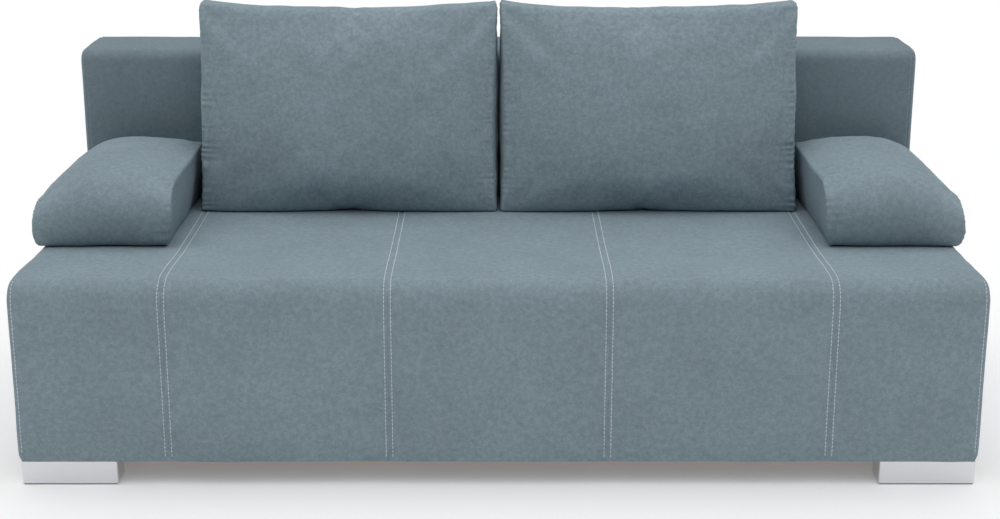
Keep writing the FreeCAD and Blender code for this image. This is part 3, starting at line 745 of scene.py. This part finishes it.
def straighten(case, along, amount):
    """Evens out how far both ends stand out, slice by slice along an axis."""
    place = points(case)
    middle = (place[:, 0].min() + place[:, 0].max()) / 2
    half = (place[:, 0].max() - place[:, 0].min()) / 2
    edges = np.linspace(place[:, along].min(), place[:, along].max(), 19)
    middles = (edges[1:] + edges[:-1]) / 2
    for side in (-1, 1):
        reach = [np.max(np.where((place[:, along] >= a) & (place[:, along] <= b),
                                 (place[:, 0] - middle) * side, 0)) for a, b in zip(edges, edges[1:])]
        reach = np.convolve(np.pad(reach, 1, mode="edge"), (0.25, 0.5, 0.25), mode="valid")
        stretch = 1 + (half / np.interp(place[:, along], middles, reach) - 1) * amount
        on_side = (place[:, 0] - middle) * side > 0
        place[:, 0] = np.where(on_side, middle + (place[:, 0] - middle) * stretch, place[:, 0])
    put_points(case, place)


def plump_ends(case, low, high, radii, amount):
    """The end panels bulge, most in their middle."""
    cloth, place = recall_cut(case), points(case)
    distance = seam_distance(cloth, low, high, radii)
    side = np.where(cloth[:, 0] > (low[0] + high[0]) / 2, 1, -1)
    on_end = np.abs(cloth[:, 0] - (low[0] + high[0]) / 2) > (high[0] - low[0]) / 2 - 0.001
    place[:, 0] += side * on_end * amount * (1 - np.exp(-distance / 0.016))
    put_points(case, place)


def droop_ends(case, outer, inner, curl):
    """The top falls away towards both ends and the underside curls up there."""
    place = points(case)
    low, high = place.min(0), place.max(0)
    across = 2 * (place[:, 0] - low[0]) / (high[0] - low[0]) - 1
    height = (place[:, 2] - low[2]) / (high[2] - low[2])
    fall = np.where(across > 0, outer, inner) * np.abs(across) ** 2.2
    place[:, 2] += -fall * height + curl * np.abs(across) ** 4 * (1 - height)
    place[:, 0] -= np.sign(across) * 0.014 * ramp(np.abs(across), 0.5, 1.0) * ramp(height, 0.42, 0.06)
    put_points(case, place)


def settle(value, limit, softness, sign=1):
    """Flattens what lies past a limit, easing into it over the softness."""
    past = sign * (value - limit)
    eased = np.where(past > softness, past, (past + softness) ** 2 / (4 * softness))
    eased = np.where(past < -softness, 0, eased)
    return value - sign * eased


# %% Cases cut to size
CELL = 0.012
SEAM_GAP = 0.004


def make_case(name, low, high, radii):
    """A box with its four long edges rounded, in even cells. The radii are those of the
    front's lower and upper edges, then the rear's lower and upper edges."""
    case = make_box(name, low, high)
    long_edges = [(y, z) for y in (low[1], high[1]) for z in (low[2], high[2])]
    for radius, (edge_y, edge_z) in zip(radii, long_edges):
        round_edges(case, radius, max(3, round(radius * 1.57 / CELL)),
                    lambda m, d: abs(d.x) > 0.9 and near(m.y, edge_y) and near(m.z, edge_z))
    cut(case, 0, steps(low[0], high[0], CELL) + [low[0] + SEAM_GAP, high[0] - SEAM_GAP])
    cut(case, 1, steps(low[1] + max(radii[:2]), high[1] - max(radii[2:]), CELL))
    if high[2] - low[2] > radii[0] + radii[1] + CELL:
        cut(case, 2, steps(low[2] + radii[0], high[2] - radii[1], CELL))
    with editing(case):
        bpy.ops.mesh.select_all(action="SELECT")
        bpy.ops.mesh.normals_make_consistent(inside=False)
    return case


def seam_distance(cut_place, low, high, radii):
    """How far each point of the flat case lies from the nearer end seam."""
    centre, half = (low + high) / 2, (high - low) / 2
    lower, ahead = cut_place[:, 2] < centre[2], cut_place[:, 1] < centre[1]
    radius = np.where(ahead, np.where(lower, radii[0], radii[1]), np.where(lower, radii[2], radii[3]))
    beyond = np.abs(cut_place[:, 1:] - centre[1:]) - (half[1:] - radius[:, None])
    outside = np.linalg.norm(np.maximum(beyond, 0), axis=1)
    inner = np.maximum(0, radius - (outside + np.minimum(beyond.max(1), 0)))
    from_end = half[0] - np.abs(cut_place[:, 0] - centre[0])
    return inner + from_end


def pucker(along, seed, pitch):
    """Uneven waves along a seam, from -1 to 1, with quiet stretches."""
    random = np.random.default_rng(seed)
    a, b, c, d = random.uniform(0, 6.283, 4)
    phase = along / pitch + 0.35 * np.sin(along / 0.021 + a) + 0.25 * np.sin(along / 0.0093 + b)
    strength = 0.5 + 0.3 * np.sin(along / 0.019 + c) + 0.3 * np.sin(along / 0.0071 + d)
    return np.sin(phase * 2 * math.pi) * np.clip(strength, 0.05, 1)


def sew_details(case, seed, low, high, radii, reach, height, pitch, weight):
    """Presses in the end seams and gathers the cloth beside them."""
    cloth, place, way = recall_cut(case), points(case), outward(case)
    distance = seam_distance(cloth, low, high, radii)
    along = cloth[:, 1] + cloth[:, 2]
    side = np.where(cloth[:, 0] > (low[0] + high[0]) / 2, 1, -1)
    waves = np.where(side > 0, pucker(along, seed, pitch), pucker(along, seed + 1, pitch * 0.8))
    fade = np.exp(-distance / reach) * (1 - 0.85 * bump(distance, 0.0025))
    offset = height * waves * fade * weight(cloth, side)
    offset -= 0.0018 * bump(distance, 0.0022)
    offset += 0.0007 * bump(distance - 0.0075, 0.0045)
    put_points(case, place + way * offset[:, None])


# %% What both kinds of cushion go through
RESTS_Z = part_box("back_cushion_cover_right")[0].z + 0.0002
RESTS_Y = 0.2485


def rest_on(case, soft):
    """Flattens the case where it lies on the seat and where it leans on the backrest."""
    place = points(case)
    place[:, 2] = np.maximum(settle(place[:, 2], RESTS_Z, soft, -1), RESTS_Z)
    place[:, 1] = np.minimum(settle(place[:, 1], RESTS_Y, soft), RESTS_Y)
    put_points(case, place)


def mirror_piece(obj):
    """Turns a right-hand piece into a left-hand one."""
    place = points(obj)
    place[:, 0] *= -1
    put_points(obj, place)
    with editing(obj):
        bpy.ops.mesh.select_all(action="SELECT")
        bpy.ops.mesh.flip_normals()


def make_pair(right, kind, sewing, seeds, deep, long, short, material, trim=None):
    """Copies the right cushion, gathers each in its own way, turns the copy and dresses both."""
    pick(right)
    bpy.ops.object.duplicate()
    left = bpy.context.object
    left.name = left.data.name = kind + "_left"
    for case, seed in zip((right, left), seeds):
        sew_details(case, seed, *sewing)
        place, way = points(case), outward(case)
        waviness = deep * swell(place, long, seed + 2) + 0.0005 * swell(place, short, seed + 3)
        put_points(case, place + way * waviness[:, None])
        if trim:
            trim(case)
        rest_on(case, 0.002)
    mirror_piece(left)
    for case, hand in ((right, "_right"), (left, "_left")):
        dress(case, material, kind + hand,
              (kind + "_cover" + hand, kind + "_filling" + hand))


# %% [markdown]
# ## Back cushions
# Each stands on the seat and leans on the backrest, deeper at the bottom than at the top.
# What touches the seat and the backrest is flattened after the simulation, and the top
# edge sinks a little between its ears, because the filling settles.

# %% Back cushion
BACK_RADII = (0.018, 0.030, 0.024, 0.030)
BACK_CASE_LOW = np.array([0.0085, 0.084, 0.4400])
BACK_CASE_HIGH = np.array([0.6935, 0.240, 0.9085])
BACK_TOP_LEAN = 0.082
TOP_NARROWER = 0.029
ZIP_SLANT = 0.2002


def lean_back(case, low, high, lean):
    """Makes the case thinner towards its top by moving its front face back."""
    place = points(case)
    rise = (place[:, 2] - low[2]) / (high[2] - low[2])
    depth = (high[1] - place[:, 1]) / (high[1] - low[1])
    place[:, 1] += depth * rise * lean
    put_points(case, place)


def settle_filling(case, low, high, dip, lift):
    """The top sinks between its corners and the belly comes forward lower down."""
    place = points(case)
    across = (place[:, 0] - low[0]) / (high[0] - low[0])
    middle = 1 - np.abs(2 * across - 1) ** 2.6
    height = (place[:, 2] - low[2]) / (high[2] - low[2])
    place[:, 2] -= dip * middle * ramp(height, 0.55, 1.0)
    forward = np.clip((high[1] - place[:, 1]) / (high[1] - low[1]), 0, 1.3)
    place[:, 1] -= lift * middle * forward * bump(height - 0.26, 0.36)
    place[:, 0] -= TOP_NARROWER * ramp(across, 0.5, 1.0) * ramp(height, 0.5, 1.0)
    put_points(case, place)


back_case = make_case("back_cushion_right", BACK_CASE_LOW, BACK_CASE_HIGH, BACK_RADII)
remember_cut(back_case)
lean_back(back_case, BACK_CASE_LOW, BACK_CASE_HIGH, BACK_TOP_LEAN)
inflate(back_case, 0.36, 0.060)
settle_filling(back_case, BACK_CASE_LOW, BACK_CASE_HIGH, 0.014, 0.018)
straighten(back_case, 2, 0.85)
fit(back_case, (0.0022, 0.046, 0.4080), (0.6990, 0.266, 0.9120))
subdivide_smooth(back_case, 2)
rest_on(back_case, 0.006)


# %% Both back cushions
def back_weight(cloth, side):
    """Gathers are strongest low on the outer side, and lighter on the inner side and top."""
    height = (cloth[:, 2] - BACK_CASE_LOW[2]) / (BACK_CASE_HIGH[2] - BACK_CASE_LOW[2])
    outer = 0.45 + 0.75 * ramp(height, 0.95, 0.45)
    return np.where(side > 0, outer, 0.6)


def back_clear_of_zip(case):
    """The lower rear edge is cut back along a slant, where the zip lies."""
    place = points(case)
    across = np.abs(place[:, 0])
    along_zip = ramp(across, 0.075, 0.095) * ramp(across, 0.630, 0.608)
    past = (place[:, 1] - place[:, 2]) + ZIP_SLANT
    push = np.clip(past, 0, None) / 2 * along_zip
    place[:, 1] -= push
    place[:, 2] += push
    put_points(case, place)


BACK_SEWING = (BACK_CASE_LOW, BACK_CASE_HIGH, BACK_RADII, 0.016, 0.0028, 0.0165, back_weight)
# The back cushions wear the paler cloth, which is painted light.
make_pair(back_case, "back_cushion", BACK_SEWING, (11, 21), 0.0011, 0.20, 0.06, cushion_cloth,
          back_clear_of_zip)

# %% [markdown]
# ## Arm cushions
# These lie flat. The upper front edge is cut to a wide radius, which gives the round nose.
# The filling is pushed evenly into both ends, and the top falls away towards them.

# %% Arm cushions
ARM_RADII = (0.030, 0.058, 0.024, 0.030)
ARM_CASE_LOW = np.array([0.722, -0.186, 0.4465])
ARM_CASE_HIGH = np.array([1.000, 0.238, 0.5480])
arm_case = make_case("arm_cushion_right", ARM_CASE_LOW, ARM_CASE_HIGH, ARM_RADII)
remember_cut(arm_case)
inflate(arm_case, 0.55, 0.036)
straighten(arm_case, 1, 0.85)
plump_ends(arm_case, ARM_CASE_LOW, ARM_CASE_HIGH, ARM_RADII, 0.014)
droop_ends(arm_case, 0.043, 0.012, 0.006)
fit(arm_case, (0.7045, -0.2165, 0.4030), (1.0145, 0.258, 0.6060))
subdivide_smooth(arm_case, 2)
rest_on(arm_case, 0.014)


def arm_weight(cloth, side):
    """Gathers are stronger on the inner side."""
    return np.where(side > 0, 0.7, 1.15)


ARM_SEWING = (ARM_CASE_LOW, ARM_CASE_HIGH, ARM_RADII, 0.018, 0.0022, 0.0175, arm_weight)
make_pair(arm_case, "arm_cushion", ARM_SEWING, (31, 41), 0.0012, 0.16, 0.05, upholstery)

# %% [markdown]
# ## Topstitching
# The pale double rows are real thread. One stitch is modelled: a short round bar whose
# ends dive into the cloth. An Array repeats it and a Curve lays it along the cover.

# %% One stitch
STITCH_PITCH = 0.0086
STITCH_LENGTH = 0.0078
THREAD = 0.00078


def make_stitch():
    """A short bar along X, thinner and lower at its ends."""
    bpy.ops.object.select_all(action="DESELECT")
    bpy.ops.mesh.primitive_cylinder_add(vertices=6, radius=THREAD, depth=STITCH_LENGTH,
                                        rotation=(0, math.pi / 2, 0))
    stitch = bpy.context.object
    bpy.ops.object.transform_apply(location=True, rotation=True, scale=True)
    cut(stitch, 0, [-STITCH_LENGTH * 0.3, 0, STITCH_LENGTH * 0.3])
    place = points(stitch)
    along = np.abs(place[:, 0]) / (STITCH_LENGTH / 2)
    place[:, 1:] *= (1 - 0.45 * ramp(along, 0.55, 1.0))[:, None]
    place[:, 2] -= 0.0009 * ramp(along, 0.3, 1.05)
    place[:, 0] += STITCH_PITCH / 2
    put_points(stitch, place)
    return stitch


# %% Lines on the cover
tree_of_seat = BVHTree.FromPolygons([v.co for v in seat.data.vertices],
                                    [p.vertices for p in seat.data.polygons])


def cover_line(x, start_y, end_z, front_only=False):
    """Points on the cover at this x: back to front over the top, then down."""
    top, face = seat_high.z, seat_low.y
    turn_y, turn_z = face + FRONT_RADIUS, top - FRONT_RADIUS
    wanted = []
    if not front_only:
        wanted += [(y, top) for y in np.arange(start_y, turn_y, -0.01)]
    first = 0 if not front_only else 0.15
    for angle in np.linspace(first, 1, 12) * math.pi / 2:
        wanted.append((turn_y - FRONT_RADIUS * math.sin(angle), turn_z + FRONT_RADIUS * math.cos(angle)))
    wanted += [(face, z) for z in np.arange(turn_z - 0.01, end_z, -0.01)]
    line = []
    for y, z in wanted:
        spot, normal, _, _ = tree_of_seat.find_nearest(Vector((x, y, z)))
        line.append(Vector((x, spot.y, spot.z)) + normal * THREAD * 0.35)
    return line


def lay_stitches(name, line):
    """One row of stitches along a line, as a mesh."""
    guide = line_object(name + "_line", [line])
    length = sum((b - a).length for a, b in zip(line, line[1:]))
    row = make_stitch()
    row.name = row.data.name = name
    repeat(row, STITCH_PITCH, int(length / STITCH_PITCH))
    modify(row, "CURVE", object=guide, deform_axis="POS_X")
    apply_all(row)
    bpy.data.objects.remove(guide)
    return row


# %% Sew the rows
rows = []
for seam in SEAMS:
    for offset in (-ROW_OFFSET, ROW_OFFSET):
        rows.append(lay_stitches("row", cover_line(seam + offset, 0.195, UNDER + 0.001)))
for side in (-1, 1):
    rows.append(lay_stitches("row", cover_line(side * 0.9885, 0, UNDER + 0.010, front_only=True)))
stitching = join(rows, "seat_topstitching")
dress(stitching, thread_paint, "seat")

# %% [markdown]
# ## Cloth on the base
# The base boards are wrapped in the same cloth: a strip round both sides and the back,
# with a hem that is pulled a little uneven.

# %% Base strip
base_low, base_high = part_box("base_covers")
side_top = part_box("base_side_boards")[1].z
base_cloth = make_box("base_upholstery", (base_low.x, base_low.y, base_low.z),
                      (base_high.x, base_high.y, side_top))
CLOTH = 0.003
with editing(base_cloth):
    select(base_cloth, "faces", lambda m, n: abs(n.z) > 0.9 or n.y < -0.9)
    bpy.ops.mesh.delete(type="FACE")
with editing(base_cloth, "EDGE"):
    select(base_cloth, "edges",
           lambda m, d: near(m.y, base_high.y) and near(m.z, side_top) and abs(d.x) > 0.9)
    bpy.ops.mesh.extrude_region_move(TRANSFORM_OT_translate={"value": (0, 0, base_high.z - side_top)})
cut(base_cloth, 0, steps(base_low.x, base_high.x, 0.03))
cut(base_cloth, 1, steps(base_low.y, base_high.y, 0.03))
cut(base_cloth, 2, steps(base_low.z, base_high.z, 0.02) + [base_low.z + 0.008, base_low.z + 0.012])
modify(base_cloth, "SOLIDIFY", thickness=CLOTH, offset=-1)
modify(base_cloth, "BEVEL", width=0.0011, segments=2, angle_limit=math.radians(50))
apply_all(base_cloth)
place, way = points(base_cloth), outward(base_cloth)
outer = ((np.abs(place[:, 0]) > base_high.x - 0.0015) | (place[:, 1] > base_high.y - 0.0015))
height = place[:, 2] - base_low.z
ripple = 0.0005 * swell(place, 0.09, 51) + 0.0007 * bump(height, 0.02) * np.sin(
    (place[:, 0] + place[:, 1]) / 0.031 * 2 * math.pi) * 0.5
ripple -= 0.0007 * bump(height - 0.010, 0.0025)
place += way * (np.where(outer, ripple, 0))[:, None]
put_points(base_cloth, place)
dress(base_cloth, upholstery, "base", ("base_covers",))

# %% [markdown]
# ## Springs and zips
# Twelve serpentine springs lie under the foam, each one zigzag line with a round section.
# A zip is two tapes and a pair of teeth that an Array repeats. It follows the lower rear
# edge of a back cushion.

# %% Serpentine springs
SPRING_WIRE = 0.0018
SPRING_BARS = 16
SPRING_HALF = 0.0240
SPRING_BAY = (0.020, 0.922)
SPRINGS_PER_BAY = 6
springs_low, springs_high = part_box("seat_springs")


def spring_line(x):
    """Cross bars joined by half-round ends."""
    z = (springs_low.z + springs_high.z) / 2
    first, last = springs_low.y + SPRING_WIRE, springs_high.y - SPRING_WIRE
    step = (last - first) / (SPRING_BARS - 1)
    line = []
    for number in range(SPRING_BARS):
        way, y = (1 if number % 2 == 0 else -1), first + number * step
        bar = SPRING_HALF - step / 2
        line += [(x - way * bar, y, z), (x, y, z), (x + way * bar, y, z)]
        if number < SPRING_BARS - 1:
            for angle in np.linspace(0, math.pi, 7)[1:-1]:
                line.append((x + way * (bar + step / 2 * math.sin(angle)),
                             y + step / 2 * (1 - math.cos(angle)), z))
    return line


pitch = (SPRING_BAY[1] - SPRING_BAY[0]) / SPRINGS_PER_BAY
springs = line_object("seat_springs_lean", [
    spring_line(side * (SPRING_BAY[0] + pitch * (number + 0.5)))
    for side in (-1, 1) for number in range(SPRINGS_PER_BAY)])
springs.data.bevel_depth = SPRING_WIRE
springs.data.bevel_resolution = 1
springs.data.use_fill_caps = True
pick(springs)
bpy.ops.object.convert(target="MESH")
dress(springs, finish["zinc_steel"], "seat", ("seat_springs",))

# %% Zip parts, built flat at the origin
TOOTH_PITCH = 0.0021
TAPE_WIDTH, TAPE_THICK = 0.0075, 0.0006
ZIP_X = (0.100, 0.602)
ZIP_OUT = 0.0014


def flat_box(low, high, rounding):
    """A box with softened edges."""
    part = make_box("part", low, high)
    modify(part, "BEVEL", width=rounding, segments=2)
    apply_all(part)
    return part


def lay_on_cushion(obj, node):
    """From flat at the origin, with the outside up, to the slanted edge of the cushion."""
    low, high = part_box(node)
    middle_y, middle_z = (low.y + high.y) / 2, (low.z + high.z) / 2
    place = points(obj)
    out, along = place[:, 2] + ZIP_OUT, place[:, 1].copy()
    slope = math.sqrt(0.5)
    place[:, 1] = middle_y + (out + along) * slope
    place[:, 2] = middle_z + (along - out) * slope
    put_points(obj, place)


def make_zip_chain():
    """Two tapes and the closed teeth between them."""
    tapes = []
    for side in (-1, 1):
        near_edge, far_edge = sorted((side * 0.0008, side * TAPE_WIDTH))
        tape = make_box("tape", (ZIP_X[0], near_edge, -TAPE_THICK), (ZIP_X[1], far_edge, 0))
        cut(tape, 0, steps(ZIP_X[0], ZIP_X[1], 0.009))
        cut(tape, 1, [side * 0.0035, side * 0.006])
        place = points(tape)
        place[:, 2] += 0.0003 * np.sin(place[:, 0] / 0.011) * np.abs(place[:, 1]) / TAPE_WIDTH
        put_points(tape, place)
        tapes.append(tape)
    teeth = []
    for side in (-1, 1):
        start = ZIP_X[0] + 0.0008 + (TOOTH_PITCH / 2 if side > 0 else 0)
        near_edge, far_edge = sorted((-side * 0.0006, side * 0.0024))
        tooth = flat_box((start, near_edge, -0.0004), (start + 0.0012, far_edge, 0.0014), 0.0003)
        repeat(tooth, TOOTH_PITCH, int((ZIP_X[1] - ZIP_X[0] - 0.003) / TOOTH_PITCH))
        apply_all(tooth)
        teeth.append(tooth)
    return join(tapes + teeth, "zip_chain")


def make_zip_slider(end):
    """Two plates round the teeth joined at the closed end, a bridge, and a pull lying flat."""
    parts = [
        flat_box((end - 0.011, -0.0034, 0.0016), (end, 0.0034, 0.0024), 0.0004),
        flat_box((end - 0.011, -0.0040, 0.0002), (end, -0.0030, 0.0022), 0.0003),
        flat_box((end - 0.011, 0.0030, 0.0002), (end, 0.0040, 0.0022), 0.0003),
        flat_box((end - 0.0085, -0.0010, 0.0022), (end - 0.0020, 0.0010, 0.0042), 0.0006),
        flat_box((end - 0.0130, -0.0012, 0.0026), (end - 0.0060, 0.0012, 0.0034), 0.0004),
        flat_box((end - 0.0360, -0.0026, 0.0024), (end - 0.0125, 0.0026, 0.0036), 0.0005),
    ]
    return join(parts, "zip_slider")


# %% One zip on each back cushion
for hand in ("right", "left"):
    chain_node, slider_node = "back_cushion_zip_" + hand, "zip_slider_" + hand
    chain, slider = make_zip_chain(), make_zip_slider(0.600)
    for piece, name in ((chain, "zip_chain_" + hand), (slider, "zip_runner_" + hand)):
        if hand == "left":
            mirror_piece(piece)
        lay_on_cushion(piece, chain_node)
        piece.name = piece.data.name = name
    dress(chain, finish["zip_plastic"], "back_cushion_" + hand, (chain_node,))
    dress(slider, finish["zip_metal"], "zip_slider_" + hand, (slider_node,))
